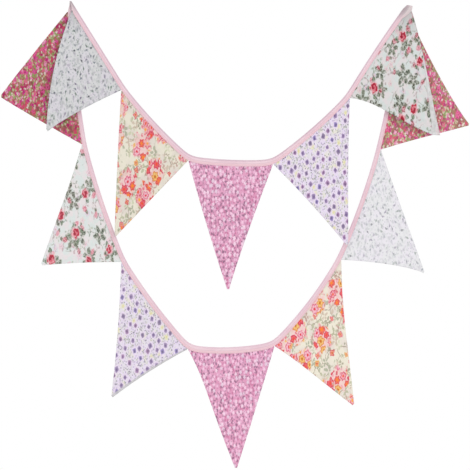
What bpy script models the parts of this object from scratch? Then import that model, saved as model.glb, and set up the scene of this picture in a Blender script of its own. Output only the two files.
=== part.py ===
"""Fabric bunting: twelve three-cornered cotton flags sewn into one folded binding tape.

The tape starts at the left hanging point, sags to the right in front as the upper swag,
goes over the right hanging point and sags back behind as the lower swag.
Lengths are in millimetres until a mesh is made. The origin is the left hanging point,
with X to the right, Y to the back and Z up.
"""

import math

import bmesh
import bpy
import numpy as np

MM = 0.001
COLLECTION = "fabric_bunting"

# The cloth
FLAG_THICKNESS = 1.2
TAPE_WALL = 1.0
CLOTH_GAP = 0.3
LEG_OFFSET = FLAG_THICKNESS / 2 + CLOTH_GAP + TAPE_WALL / 2

# The tape's folded width where it runs level and where it runs upright
TAPE_WIDTH_LEVEL = 9.2
TAPE_WIDTH_UPRIGHT = 6.1
FOLD_DEPTH = 1.9
SEAM_START = 2.4
SEAM_EXIT = 1.0
NEIGHBOUR_GAP = 0.5

# The hanging points, and the half turn of the tape over the right one, where the folded edge
# draws in from the line of the swags to the top
LEFT_POINT = (0.0, 0.0)
RIGHT_POINT = (463.4, -11.4)
HOOK_RADIUS = 5.0
HOOK_LEAN = math.radians(8)
HOOK_STEPS = 6
HOOK_REACH = 13.0
HOOK_INSET = 4.4
HOOK_WIDTH = 13.2
LEFT_END_WIDTH = 2.6
LEFT_END_REACH = 18.0

# How far each end of the tape stands off the plane of the left hanging point
LEFT_END_DEPTH = 2.4

# How finely the cloth is divided
SPAN_STEPS = 9
FLAG_ROWS = 13
SPAN_SAMPLES = 120

# The rounding of the folded edge where two spans meet, and the least rounding at its ends
CORNER_ROUNDING = 9.0
LEAST_ROUNDING = 0.01

# How the hang of a flag changes down its length: the share of the length in which it leaves
# the tape, and the powers that shape its crown, its edge curls, its point and its folds
SETTLE_SHARE = 0.3
CROWN_POWER = 0.8
CURL_POWER = 3
TIP_POWER = 2.2
FOLD_POWER = 0.7

# A row for each point where two flags meet on the tape's folded edge, from left to right,
# with the sag of the tape from there to the next point
JOINT_COLUMNS = ("x", "z", "sag")
UPPER_JOINTS = (
    (*LEFT_POINT, 0.0),
    (75.7, -121.2, 3.0),
    (166.6, -217.5, 2.6),
    (279.8, -222.0, 3.6),
    (383.8, -132.0, -1.4),
    (*RIGHT_POINT, 0.0),
)
LOWER_JOINTS = (
    (*LEFT_POINT, 3.0),
    (20.8, -199.5, 3.2),
    (75.6, -362.6, 3.4),
    (165.9, -482.0, 4.9),
    (281.0, -477.5, 5.1),
    (371.6, -359.4, 3.5),
    (426.8, -206.5, 2.5),
    (*RIGHT_POINT, 0.0),
)

# A row for each swag: its joints, the side it hangs on (-1 front, 1 back) and how far its
# middle stands off the plane of the hanging points
SWAG_COLUMNS = ("name", "joints", "side", "stand_off")
SWAGS = (
    ("upper", UPPER_JOINTS, -1, 5.0),
    ("lower", LOWER_JOINTS, 1, 4.0),
)

# A row for each flag: its span on the tape, how much of the span is bare at either end, its
# point with the width it is turned to and that end's slant in degrees, and the outward bow of
# its two free edges with where along the edge each is greatest
FLAG_COLUMNS = (
    "name", "fabric", "swag", "span", "bare_left", "bare_right",
    "tip_x", "tip_z", "tip_width", "tip_turn", "bow_left", "peak_left", "bow_right", "peak_right",
)
FLAGS = (
    ("flag_grey_upper", "grey", "upper", 0, 11.0, 0.0,
     -33.5, -181.3, 4.0, 0, 7.2, 0.5, -3.2, 0.6),
    ("flag_cream_upper", "cream", "upper", 1, 0.0, 0.0,
     61.6, -328.3, 3.0, 0, 0.4, 0.5, -0.2, 0.3),
    ("flag_pink_upper", "pink", "upper", 2, 0.0, 0.0,
     219.4, -403.2, 3.0, 0, 1.4, 0.5, -1.8, 0.6),
    ("flag_lilac_upper", "lilac", "upper", 3, 0.0, 0.0,
     386.0, -341.0, 3.0, 0, -2.0, 0.5, -1.3, 0.4),
    ("flag_rose_upper", "rose", "upper", 4, 0.0, 1.0,
     510.4, -188.0, 10.5, -57, -5.0, 0.26, 1.8, 0.3),
    ("flag_magenta_lower_left", "magenta", "lower", 0, 14.0, 0.0,
     -99.4, -133.0, 3.0, 0, 0.8, 0.5, 0.8, 0.6),
    ("flag_rose_lower", "rose", "lower", 1, 0.0, 0.0,
     -42.2, -368.4, 3.5, 0, -1.4, 0.3, -1.3, 0.5),
    ("flag_lilac_lower", "lilac", "lower", 2, 0.0, 0.0,
     56.4, -554.2, 3.0, 0, -2.2, 0.5, -2.6, 0.5),
    ("flag_pink_lower", "pink", "lower", 3, 0.0, 0.0,
     230.3, -654.4, 3.0, 0, -2.8, 0.24, 0.4, 0.5),
    ("flag_cream_lower", "cream", "lower", 4, 0.0, 0.0,
     395.0, -565.2, 3.0, 0, -1.5, 0.3, -2.9, 0.36),
    ("flag_grey_lower", "grey", "lower", 5, 0.0, 0.0,
     494.0, -380.0, 3.0, 0, -4.6, 0.6, -0.2, 0.3),
    ("flag_magenta_lower_right", "magenta", "lower", 6, 0.0, 6.0,
     556.9, -172.6, 3.0, 0, -0.9, 0.35, -4.2, 0.58),
)

# A row for each flag's hang, in millimetres off its swag, outward positive: the crown of its
# middle, the curl of its free edges, the lift of its point, and its soft folds, which run from
# the tape towards the point, with their number across the flag and their shift
HANG_COLUMNS = ("crown", "curl_left", "curl_right", "tip_lift", "fold_depth", "folds", "shift")
HANGS = {
    "flag_grey_upper": (3.0, 2.0, 4.5, 6.0, 1.4, 1.5, 0.10),
    "flag_cream_upper": (4.0, 5.0, 1.0, 4.0, 1.2, 1.0, 0.35),
    "flag_pink_upper": (5.0, 0.5, 3.0, 7.0, 1.5, 1.5, 0.60),
    "flag_lilac_upper": (3.5, 3.0, 2.0, 5.0, 1.3, 1.0, 0.20),
    "flag_rose_upper": (4.0, 1.5, 5.0, 3.0, 2.2, 2.5, 0.00),
    "flag_magenta_lower_left": (2.5, 3.0, 1.0, 5.0, 1.0, 1.5, 0.40),
    "flag_rose_lower": (4.5, 2.5, 3.0, 8.0, 1.4, 1.5, 0.15),
    "flag_lilac_lower": (4.0, 1.5, 4.0, 5.0, 1.2, 1.0, 0.70),
    "flag_pink_lower": (5.0, 3.0, 1.0, 9.0, 1.6, 1.5, 0.30),
    "flag_cream_lower": (3.5, 4.0, 2.5, 6.0, 1.3, 1.5, 0.55),
    "flag_grey_lower": (4.0, 1.0, 4.0, 8.0, 1.2, 1.0, 0.25),
    "flag_magenta_lower_right": (2.5, 2.0, 3.0, 6.0, 1.0, 1.5, 0.80),
}

# Base colour, roughness and metallic value of each cloth
CLOTHS = {
    "tape": ((0.84, 0.62, 0.68), 0.85, 0.0),
    "grey": ((0.76, 0.77, 0.79), 0.9, 0.0),
    "cream": ((0.84, 0.79, 0.69), 0.9, 0.0),
    "pink": ((0.76, 0.46, 0.62), 0.9, 0.0),
    "lilac": ((0.74, 0.68, 0.78), 0.9, 0.0),
    "rose": ((0.80, 0.80, 0.79), 0.9, 0.0),
    "magenta": ((0.60, 0.28, 0.33), 0.9, 0.0),
}


def rows(columns, table):
    """Each row of a table as a dictionary of its named columns."""
    return [dict(zip(columns, row)) for row in table]


def smooth_step(value):
    value = np.clip(value, 0.0, 1.0)
    return value * value * (3.0 - 2.0 * value)


def right_of(vectors):
    """Unit vectors square to these in the X-Z plane, on their right: where the flags hang."""
    turned = np.stack([vectors[..., 1], -vectors[..., 0]], axis=-1)
    return turned / np.linalg.norm(turned, axis=-1, keepdims=True)


def swag_line(joints):
    """The folded edge in the X-Z plane as dense points, and the index of each joint."""
    joints = rows(JOINT_COLUMNS, joints)
    corners = np.array([(joint["x"], joint["z"]) for joint in joints])
    share = np.linspace(0.0, 1.0, SPAN_SAMPLES, endpoint=False)[:, None]
    spans = []
    for joint, start, end in zip(joints, corners[:-1], corners[1:]):
        bow = 4.0 * share * (1.0 - share) * joint["sag"]
        spans.append(start + (end - start) * share + right_of(end - start) * bow)
    line = np.vstack([*spans, corners[-1:]])
    return rounded(line), np.arange(len(corners)) * SPAN_SAMPLES


def rounded(line):
    """The line with its corners rounded and its two ends kept."""
    length = np.concatenate([[0.0], np.cumsum(np.linalg.norm(np.diff(line, axis=0), axis=1))])
    near_end = np.minimum(length, length[-1] - length)
    spread = np.minimum(CORNER_ROUNDING, near_end / 2.0 + LEAST_ROUNDING)
    apart = (length[:, None] - length[None, :]) / spread[:, None]
    weight = np.exp(-0.5 * apart**2) * np.gradient(length)[None, :]
    smooth = weight @ line / weight.sum(axis=1, keepdims=True)
    smooth[0] = line[0]
    smooth[-1] = line[-1]
    return smooth


def tape_width(tangent):
    """The folded width of the tape for its direction in the X-Z plane."""
    level, upright = tangent[..., 0], tangent[..., 1]
    return np.hypot(TAPE_WIDTH_LEVEL * level, TAPE_WIDTH_UPRIGHT * upright)


def hang_swag(swag):
    """Points, flag-side normals and widths along a swag, as stations of span and share."""
    line, joint_index = swag_line(swag["joints"])
    tangent = np.gradient(line, axis=0)
    tangent /= np.linalg.norm(tangent, axis=1, keepdims=True)
    normal = right_of(tangent)
    width = tape_width(tangent)
    near_hook = smooth_step(1.0 - np.linalg.norm(line - RIGHT_POINT, axis=1) / HOOK_REACH)[:, None]
    hook_normal = np.array([math.cos(HOOK_LEAN), -math.sin(HOOK_LEAN)])
    normal = normal * (1.0 - near_hook) + hook_normal * near_hook
    normal /= np.linalg.norm(normal, axis=1, keepdims=True)
    width = width * (1.0 - near_hook[:, 0]) + HOOK_WIDTH * near_hook[:, 0]
    near_end = smooth_step(1.0 - np.linalg.norm(line - LEFT_POINT, axis=1) / LEFT_END_REACH)
    width = width * (1.0 - near_end) + LEFT_END_WIDTH * near_end
    share = np.linspace(0.0, 1.0, len(line))
    ends = LEFT_END_DEPTH * (1.0 - share) + HOOK_RADIUS * share
    depth = swag["side"] * (ends + swag["stand_off"] * np.sin(math.pi * share) ** 2)
    return {
        "side": swag["side"], "line": line, "normal": normal, "width": width,
        "depth": depth, "joint_index": joint_index,
    }


def station(hung, index):
    """The swag's values at a fractional index along its dense line."""
    grid = np.arange(len(hung["line"]))
    x, z = (np.interp(index, grid, hung["line"][:, axis]) for axis in (0, 1))
    across_x, across_z = (np.interp(index, grid, hung["normal"][:, axis]) for axis in (0, 1))
    depth = np.interp(index, grid, hung["depth"])
    width = np.interp(index, grid, hung["width"])
    return np.array([x, depth, z]), np.array([across_x, 0.0, across_z]), width


def tape_section(point, across, outward, width):
    """The middle of the tape's folded wall at one station: front leg, fold and back leg."""
    turn = math.sqrt(0.5) * LEG_OFFSET
    fold = TAPE_WALL / 2
    profile = (
        (width, LEG_OFFSET),
        (FOLD_DEPTH, LEG_OFFSET),
        (fold + LEG_OFFSET - turn, turn),
        (fold, 0.0),
        (fold + LEG_OFFSET - turn, -turn),
        (FOLD_DEPTH, -LEG_OFFSET),
        (width, -LEG_OFFSET),
    )
    return [point + across * inward + outward * off for inward, off in profile]


def tape_sections(swags):
    """Sections along the whole tape: upper swag, over the hook, lower swag back."""
    sections = []
    for name, backwards in (("upper", False), ("lower", True)):
        hung = swags[name]
        outward = np.array([0.0, hung["side"], 0.0])
        steps = (len(hung["joint_index"]) - 1) * SPAN_STEPS
        stations = np.linspace(0.0, hung["joint_index"][-1], steps + 1)
        if backwards:
            sections += hook_sections()
            stations = stations[::-1]
        for index in stations:
            point, across, width = station(hung, index)
            sections.append(tape_section(point, across, outward, width))
    return sections


def hook_sections():
    """Sections round the half turn over the right hanging point, without its two ends."""
    up = np.array([math.sin(HOOK_LEAN), 0.0, math.cos(HOOK_LEAN)])
    across = np.array([math.cos(HOOK_LEAN), 0.0, -math.sin(HOOK_LEAN)])
    centre = np.array([RIGHT_POINT[0], 0.0, RIGHT_POINT[1]])
    found = []
    for step in range(1, HOOK_STEPS):
        angle = math.pi * step / HOOK_STEPS
        outward = np.array([0.0, -math.cos(angle), 0.0]) + up * math.sin(angle)
        inset = HOOK_INSET * math.sin(angle)
        point = centre + outward * HOOK_RADIUS + across * inset
        found.append(tape_section(point, across, outward, HOOK_WIDTH - inset))
    return found


def edge_bow(share, peak):
    """How a free edge bows along its length: 0 at both ends and 1 at the peak."""
    rise = share / peak
    fall = (1.0 - share) / (1.0 - peak)
    return rise * fall ** (1.0 / peak - 1.0)


def flag_points(flag, hang, hung):
    """The flag's middle surface as points[row][column], from the tape to the point."""
    first = hung["joint_index"][flag["span"]]
    last = hung["joint_index"][flag["span"] + 1]
    run = hung["line"][first:last + 1]
    per_index = np.linalg.norm(np.diff(run, axis=0), axis=1).sum() / (last - first)
    start = first + (flag["bare_left"] + NEIGHBOUR_GAP) / per_index
    end = last - (flag["bare_right"] + NEIGHBOUR_GAP) / per_index
    shares = np.linspace(0.0, 1.0, SPAN_STEPS + 1)

    tops, mouths = [], []
    for index in start + (end - start) * shares:
        point, across, width = station(hung, index)
        tops.append(point + across * SEAM_START)
        mouths.append(point + across * (width + SEAM_EXIT))
    mouths = np.array(mouths)

    tip = np.array([flag["tip_x"], 0.0, flag["tip_z"]])
    base = mouths[-1] - mouths[0]
    slant = math.atan2(base[2], base[0]) + math.radians(flag["tip_turn"])
    along = np.array([math.cos(slant), 0.0, math.sin(slant)])
    tips = tip + np.outer((shares - 0.5) * flag["tip_width"], along)
    left_out = outward_of(tips[0] - mouths[0], mouths[-1] - mouths[0])
    right_out = outward_of(tips[-1] - mouths[-1], mouths[0] - mouths[-1])

    points = [tops]
    for row in range(FLAG_ROWS):
        down = row / (FLAG_ROWS - 1)
        flat = mouths * (1.0 - down) + tips * down
        flat[:, 1] = mouths[:, 1] * (1.0 - down) + hung["side"] * HOOK_RADIUS * down
        flat += np.outer(1.0 - shares, left_out) * flag["bow_left"] * edge_bow(down, flag["peak_left"])
        flat += np.outer(shares, right_out) * flag["bow_right"] * edge_bow(down, flag["peak_right"])
        flat[:, 1] += hung["side"] * hang_depth(hang, shares, down)
        points.append(flat)
    return points


def outward_of(edge, inside):
    """The unit vector square to an edge in the X-Z plane, away from the inside direction."""
    out = np.array([edge[2], 0.0, -edge[0]])
    out /= np.linalg.norm(out)
    return -out if out @ inside > 0 else out


def hang_depth(hang, across, down):
    """How far the cloth stands off its plane, at shares across and down the flag."""
    settle = smooth_step(down / SETTLE_SHARE)
    fold = np.sin(2.0 * math.pi * (hang["folds"] * across + hang["shift"]))
    curl = hang["curl_left"] * (1.0 - across) ** CURL_POWER + hang["curl_right"] * across**CURL_POWER
    depth = hang["crown"] * np.sin(math.pi * across) * math.sin(math.pi * down**CROWN_POWER)
    depth = depth + curl * math.sin(math.pi * down)
    depth = depth + hang["tip_lift"] * down**TIP_POWER
    depth = depth + hang["fold_depth"] * fold * (1.0 - down) ** FOLD_POWER
    return depth * settle


def grid_object(name, points, thickness, material, collection):
    """A sheet of even thickness with its middle through points[row][column]."""
    points = np.array(points)
    row_count, column_count = points.shape[:2]
    mesh = bpy.data.meshes.new(name)
    bm = bmesh.new()
    bmesh.ops.create_grid(bm, x_segments=column_count - 1, y_segments=row_count - 1, size=1.0)
    for vert in bm.verts:
        column = round((vert.co.x + 1.0) / 2.0 * (column_count - 1))
        row = round((vert.co.y + 1.0) / 2.0 * (row_count - 1))
        vert.co = points[row, column] * MM
    bm.to_mesh(mesh)
    bm.free()
    mesh.shade_smooth()
    obj = bpy.data.objects.new(name, mesh)
    obj.data.materials.append(material)
    collection.objects.link(obj)
    wall = obj.modifiers.new("thickness", "SOLIDIFY")
    wall.thickness = thickness * MM
    wall.offset = 0.0
    wall.use_even_offset = True
    return obj


def cloth_material(name):
    colour, roughness, metallic = CLOTHS[name]
    material = bpy.data.materials.new(name + "_cloth")
    material.use_nodes = True
    shader = material.node_tree.nodes["Principled BSDF"]
    shader.inputs["Base Color"].default_value = (*colour, 1.0)
    shader.inputs["Roughness"].default_value = roughness
    shader.inputs["Metallic"].default_value = metallic
    return material


def clear_scene():
    for obj in list(bpy.data.objects):
        bpy.data.objects.remove(obj, do_unlink=True)


def main():
    clear_scene()
    collection = bpy.data.collections.new(COLLECTION)
    bpy.context.scene.collection.children.link(collection)
    materials = {name: cloth_material(name) for name in CLOTHS}
    swags = {swag["name"]: hang_swag(swag) for swag in rows(SWAG_COLUMNS, SWAGS)}
    grid_object("binding_tape", tape_sections(swags), TAPE_WALL, materials["tape"], collection)
    for flag in rows(FLAG_COLUMNS, FLAGS):
        hang = dict(zip(HANG_COLUMNS, HANGS[flag["name"]]))
        points = flag_points(flag, hang, swags[flag["swag"]])
        grid_object(flag["name"], points, FLAG_THICKNESS, materials[flag["fabric"]], collection)


main()
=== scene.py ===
"""Fabric bunting as it looks: printed cotton flags in a stitched pink binding tape.

Lengths are in millimetres until a mesh is made. The origin is the left hanging point, with X
to the right, Y to the back and Z up.
"""

import math

import bpy
import numpy as np
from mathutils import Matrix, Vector


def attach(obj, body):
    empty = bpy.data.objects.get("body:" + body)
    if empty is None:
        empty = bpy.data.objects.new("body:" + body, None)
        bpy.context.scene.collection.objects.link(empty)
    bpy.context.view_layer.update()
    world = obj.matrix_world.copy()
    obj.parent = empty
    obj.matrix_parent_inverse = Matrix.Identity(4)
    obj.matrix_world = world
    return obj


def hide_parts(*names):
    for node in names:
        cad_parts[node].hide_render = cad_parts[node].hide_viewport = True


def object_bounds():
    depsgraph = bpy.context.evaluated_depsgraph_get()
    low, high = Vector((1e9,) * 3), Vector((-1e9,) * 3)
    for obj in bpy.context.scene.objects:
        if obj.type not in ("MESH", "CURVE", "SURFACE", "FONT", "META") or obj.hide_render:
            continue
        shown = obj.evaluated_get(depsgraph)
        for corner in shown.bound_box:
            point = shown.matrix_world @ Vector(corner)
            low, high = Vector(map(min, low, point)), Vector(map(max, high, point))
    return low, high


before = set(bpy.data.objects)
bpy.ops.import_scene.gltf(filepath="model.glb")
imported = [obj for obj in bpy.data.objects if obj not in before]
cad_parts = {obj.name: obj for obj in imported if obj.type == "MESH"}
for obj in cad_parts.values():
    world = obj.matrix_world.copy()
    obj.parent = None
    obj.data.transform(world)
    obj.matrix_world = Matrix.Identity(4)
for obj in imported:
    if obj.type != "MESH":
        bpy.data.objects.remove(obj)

CAD_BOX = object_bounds()
MM = 0.001
TURN = 2.0 * math.pi

# The cloth, and the shape of its turned and pressed edges
FLAG_HALF = 0.5
SEAM_HALF = 0.6
SEAM_ALLOWANCE = 6.0
SEAM_STEP = (SEAM_ALLOWANCE - 1.0, SEAM_ALLOWANCE + 0.5)
EDGE_ROUND = 0.8
TAPE_WALL = 1.0
CLOTH_GAP = 0.3
LEG_OFFSET = SEAM_HALF + CLOTH_GAP + TAPE_WALL / 2

# The tape's folded width where it runs level and where it runs upright
TAPE_WIDTH_LEVEL = 9.2
TAPE_WIDTH_UPRIGHT = 6.1
FOLD_CENTRE = TAPE_WALL / 2 + LEG_OFFSET
SEAM_START = 2.4
SEAM_EXIT = 1.0
NEIGHBOUR_GAP = 0.5

# The hanging points, and the half turn of the tape over the right one, where the folded edge
# draws in from the line of the swags to the top
LEFT_POINT = (0.0, 0.0)
RIGHT_POINT = (463.4, -11.4)
HOOK_RADIUS = 5.0
HOOK_LEAN = math.radians(8)
HOOK_STEPS = 14
HOOK_REACH = 13.0
HOOK_INSET = 4.4
HOOK_WIDTH = 13.2
LEFT_END_WIDTH = 2.6
LEFT_END_REACH = 18.0
LEFT_END_DEPTH = 2.4

SPAN_SAMPLES = 120
CORNER_ROUNDING = 9.0
LEAST_ROUNDING = 0.01

# How the hang of a flag changes down its length
SETTLE_SHARE = 0.3
CROWN_POWER = 0.8
CURL_POWER = 3
TIP_POWER = 2.2
FOLD_POWER = 0.7

# How finely the cloth is divided: the shares of its width close to a flag's free edge, of the
# rest of it, the rows down a flag, and the stations along each span of the tape
EDGE_SHARES = (0.0, 0.0012, 0.0035, 0.008, 0.018, 0.034, 0.055)
INNER_COLUMNS = 37
INNER_START = 0.08
FLAG_ROWS = 92
ROW_CROWDING = 0.32
TAPE_STATIONS = 60
LEG_SHARES = (0.0, 0.012, 0.035, 0.075, 0.13, 0.18, 0.23, 0.3, 0.4, 0.52, 0.64, 0.76, 0.88)
FOLD_STEPS = 8

# Puckers: height, wavelength along the seam and reach into the cloth. Each wave is made
# uneven by a longer one.
EDGE_PUCKER = (0.30, 12.0, 7.0)
RIGHT_EDGE_LONGER = 1.15
MOUTH_PUCKER = (0.34, 9.5, 13.0)
TAPE_PUCKER = (0.30, 8.0)
UNEVEN_LONGER = 2.7
UNEVEN_SWAY = 1.4

# The drift of the whole cloth: its height, and the length, slope and shift of each of its waves;
# then where all this starts below the tape and where it is full, and how creases fade out
DRIFT_HEIGHT = 0.35
DRIFT_WAVES = ((49.6, 0.4, 1.1), (36.8, 2.0, 4.0), (75.2, 1.2, 2.6))
RELIEF_STARTS = 3.0
RELIEF_FULL = 12.0
CREASE_FADE = 0.25

# The tape's sewing. How far a stitch sinks and arches are shares of its radius.
STITCH_INSET = 1.5
STITCH_PITCH = 2.6
STITCH_LENGTH = 1.9
STITCH_RADIUS = 0.19
STITCH_SIDES = 6
STITCH_RINGS = ((-0.5, 0.25), (-0.36, 0.9), (0.0, 1.0), (0.36, 0.9), (0.5, 0.25))
STITCH_SUNK = 0.3
STITCH_ARCH = 0.6
STITCH_AHEAD = 0.5
STITCHED_SHARE = 0.18
SEWN_TROUGH = 0.12
SEWN_TROUGH_WIDTH = 0.55
TAPE_HEM_SHARE = 0.55
TAPE_HALF = 0.32
MOUTH_DRAW_IN = 0.30
MOUTH_DRAW_SHARE = 0.5
APEX_REACH = 23.0
FLAG_APEX_REACH = 52.0

# A row for each point where two flags meet on the tape's folded edge, from left to right,
# with the sag of the tape from there to the next point
JOINT_COLUMNS = ("x", "z", "sag")
UPPER_JOINTS = (
    (*LEFT_POINT, 0.0),
    (75.7, -121.2, 3.0),
    (166.6, -217.5, 2.6),
    (279.8, -222.0, 3.6),
    (383.8, -132.0, -1.4),
    (*RIGHT_POINT, 0.0),
)
LOWER_JOINTS = (
    (*LEFT_POINT, 3.0),
    (20.8, -199.5, 3.2),
    (75.6, -362.6, 3.4),
    (165.9, -482.0, 4.9),
    (281.0, -477.5, 5.1),
    (371.6, -359.4, 3.5),
    (426.8, -206.5, 2.5),
    (*RIGHT_POINT, 0.0),
)

# A row for each swag: its joints, its side (-1 front, 1 back) and how far its middle stands
# off the plane of the hanging points
SWAG_COLUMNS = ("name", "joints", "side", "stand_off")
SWAGS = (
    ("upper", UPPER_JOINTS, -1, 5.0),
    ("lower", LOWER_JOINTS, 1, 4.0),
)

# A row for each flag: its span on the tape, how much of the span is bare at either end, its
# point with the width it is turned to and that end's slant in degrees, and the outward bow of
# its two free edges with where along the edge each is greatest
FLAG_COLUMNS = (
    "name", "fabric", "swag", "span", "bare_left", "bare_right",
    "tip_x", "tip_z", "tip_width", "tip_turn", "bow_left", "peak_left", "bow_right", "peak_right",
)
FLAGS = (
    ("flag_grey_upper", "grey", "upper", 0, 11.0, 0.0,
     -33.5, -181.3, 4.0, 0, 7.2, 0.5, -3.2, 0.6),
    ("flag_cream_upper", "cream", "upper", 1, 0.0, 0.0,
     61.6, -328.3, 3.0, 0, 0.4, 0.5, -0.2, 0.3),
    ("flag_pink_upper", "pink", "upper", 2, 0.0, 0.0,
     219.4, -403.2, 3.0, 0, 1.4, 0.5, -1.8, 0.6),
    ("flag_lilac_upper", "lilac", "upper", 3, 0.0, 0.0,
     386.0, -341.0, 3.0, 0, -2.0, 0.5, -1.3, 0.4),
    ("flag_rose_upper", "rose", "upper", 4, 0.0, 1.0,
     510.4, -188.0, 10.5, -57, -5.0, 0.26, 1.8, 0.3),
    ("flag_magenta_lower_left", "magenta", "lower", 0, 14.0, 0.0,
     -99.4, -133.0, 3.0, 0, 0.8, 0.5, 0.8, 0.6),
    ("flag_rose_lower", "rose", "lower", 1, 0.0, 0.0,
     -42.2, -368.4, 3.5, 0, -1.4, 0.3, -1.3, 0.5),
    ("flag_lilac_lower", "lilac", "lower", 2, 0.0, 0.0,
     56.4, -554.2, 3.0, 0, -2.2, 0.5, -2.6, 0.5),
    ("flag_pink_lower", "pink", "lower", 3, 0.0, 0.0,
     230.3, -654.4, 3.0, 0, -2.8, 0.24, 0.4, 0.5),
    ("flag_cream_lower", "cream", "lower", 4, 0.0, 0.0,
     395.0, -565.2, 3.0, 0, -1.5, 0.3, -2.9, 0.36),
    ("flag_grey_lower", "grey", "lower", 5, 0.0, 0.0,
     494.0, -380.0, 3.0, 0, -4.6, 0.6, -0.2, 0.3),
    ("flag_magenta_lower_right", "magenta", "lower", 6, 0.0, 6.0,
     556.9, -172.6, 3.0, 0, -0.9, 0.35, -4.2, 0.58),
)

# A row for each flag's hang, in millimetres off its swag, outward positive: the crown of its
# middle, the curl of its free edges, the lift of its point, and its soft folds, with their
# number across the flag and their shift; then where its print is cut from the cloth, and how its
# colour is scaled and paled, partly its own tone and partly painted light for how light falls on
# it
HANG_COLUMNS = ("crown", "curl_left", "curl_right", "tip_lift", "fold_depth", "folds", "shift",
                "cut_x", "cut_y", "tone_and_painted_light", "paling_and_painted_light")
HANGS = {
    "flag_grey_upper": (3.0, 2.0, 4.5, 6.0, 1.4, 1.5, 0.10, 12.0, 40.0, 0.96, 0.0),
    "flag_cream_upper": (4.0, 5.0, 1.0, 4.0, 1.2, 1.0, 0.35, 31.0, 220.0, 0.98, 0.0),
    "flag_pink_upper": (5.0, 0.5, 3.0, 7.0, 1.5, 1.5, 0.60, 250.0, 75.0, 0.99, 0.0),
    "flag_lilac_upper": (3.5, 3.0, 2.0, 5.0, 1.3, 1.0, 0.20, 415.0, 130.0, 0.99, 0.0),
    "flag_rose_upper": (4.0, 1.5, 5.0, 3.0, 2.2, 2.5, 0.00, 77.0, 310.0, 0.97, 0.0),
    "flag_magenta_lower_left": (2.5, 3.0, 1.0, 5.0, 1.0, 1.5, 0.40, 140.0, 95.0, 0.93, 0.0),
    "flag_rose_lower": (4.5, 2.5, 3.0, 8.0, 1.4, 1.5, 0.15, 560.0, 44.0, 1.06, 0.03),
    "flag_lilac_lower": (4.0, 1.5, 4.0, 5.0, 1.2, 1.0, 0.70, 205.0, 515.0, 0.98, 0.05),
    "flag_pink_lower": (5.0, 3.0, 1.0, 9.0, 1.6, 1.5, 0.30, 340.0, 380.0, 1.01, 0.0),
    "flag_cream_lower": (3.5, 4.0, 2.5, 6.0, 1.3, 1.5, 0.55, 588.0, 282.0, 1.05, 0.0),
    "flag_grey_lower": (4.0, 1.0, 4.0, 8.0, 1.2, 1.0, 0.25, 480.0, 610.0, 1.13, 0.28),
    "flag_magenta_lower_right": (2.5, 2.0, 3.0, 6.0, 1.0, 1.5, 0.80, 700.0, 150.0, 1.10, 0.05),
}

# A row for each soft crease: the flag, the shares across and down where it starts and ends,
# and its width and depth (a ridge where negative)
CREASE_COLUMNS = ("flag", "from_across", "from_down", "to_across", "to_down", "width", "depth")
CREASES = (
    ("flag_rose_upper", 0.86, 0.18, 0.80, 0.98, 5.0, 1.0),
    ("flag_rose_upper", 0.66, 0.30, 0.60, 0.95, 6.0, -0.8),
    ("flag_rose_upper", 0.52, 0.04, 0.45, 0.60, 5.0, 0.7),
    ("flag_rose_upper", 0.20, 0.10, 0.28, 0.50, 6.0, 0.4),
    ("flag_grey_upper", 0.30, 0.05, 0.40, 0.75, 7.0, 0.5),
    ("flag_grey_upper", 0.75, 0.10, 0.62, 0.60, 6.0, -0.4),
    ("flag_cream_upper", 0.10, 0.04, 0.08, 0.45, 4.0, 0.8),
    ("flag_cream_upper", 0.62, 0.08, 0.50, 0.70, 7.0, 0.5),
    ("flag_pink_upper", 0.42, 0.05, 0.50, 0.60, 8.0, 0.5),
    ("flag_pink_upper", 0.84, 0.04, 0.70, 0.40, 6.0, -0.4),
    ("flag_lilac_upper", 0.25, 0.06, 0.40, 0.65, 7.0, 0.5),
    ("flag_lilac_upper", 0.90, 0.10, 0.85, 0.80, 5.0, 0.6),
    ("flag_magenta_lower_left", 0.55, 0.05, 0.45, 0.70, 7.0, 0.5),
    ("flag_rose_lower", 0.35, 0.08, 0.45, 0.70, 7.0, 0.6),
    ("flag_rose_lower", 0.80, 0.05, 0.70, 0.55, 6.0, -0.5),
    ("flag_lilac_lower", 0.60, 0.06, 0.52, 0.75, 7.0, 0.6),
    ("flag_lilac_lower", 0.15, 0.12, 0.22, 0.60, 5.0, 0.4),
    ("flag_pink_lower", 0.30, 0.05, 0.42, 0.65, 8.0, 0.6),
    ("flag_pink_lower", 0.72, 0.05, 0.62, 0.50, 6.0, -0.4),
    ("flag_cream_lower", 0.20, 0.06, 0.35, 0.60, 7.0, 0.5),
    ("flag_cream_lower", 0.85, 0.12, 0.78, 0.85, 5.0, 0.6),
    ("flag_grey_lower", 0.45, 0.05, 0.50, 0.70, 8.0, 0.6),
    ("flag_magenta_lower_right", 0.50, 0.06, 0.55, 0.70, 7.0, 0.5),
)

# A row for each flag whose free edge on the right shows the cloth's plain back: the share of
# the length where the strip starts, its width at the point in millimetres (negative for none),
# its grey, on the lilac flag darkened as painted shade where the edge turns from the light, and
# how light the painted shadow line along its border crease is
TURNED_COLUMNS = ("start", "width", "grey", "line")
TURNED = {
    "flag_rose_upper": (0.28, 11.0, 222, 0.84),
    "flag_lilac_lower": (-2.0, 3.6, 202, 0.97),
}
NOT_TURNED = (-1.0, -100.0, 222, 1.0)

# The prints run a third shorter across the bunting than up it
PRINT_STRETCH = 1.5

# How dark a flower is between its petals and where that ends, then where its rim, outline and
# heart end and how soft a leaf and a stem are, in shares of their own size
PETAL_SHADE = 0.82
PETAL_SHADE_END = -0.35
RIM_END = 0.95
FLOWER_EDGE = (0.88, 1.1)
HEART_BLUR = (0.08, 0.1)
LEAF_BLUR = 0.18
LINE_EDGE = (0.6, 1.6)

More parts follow.
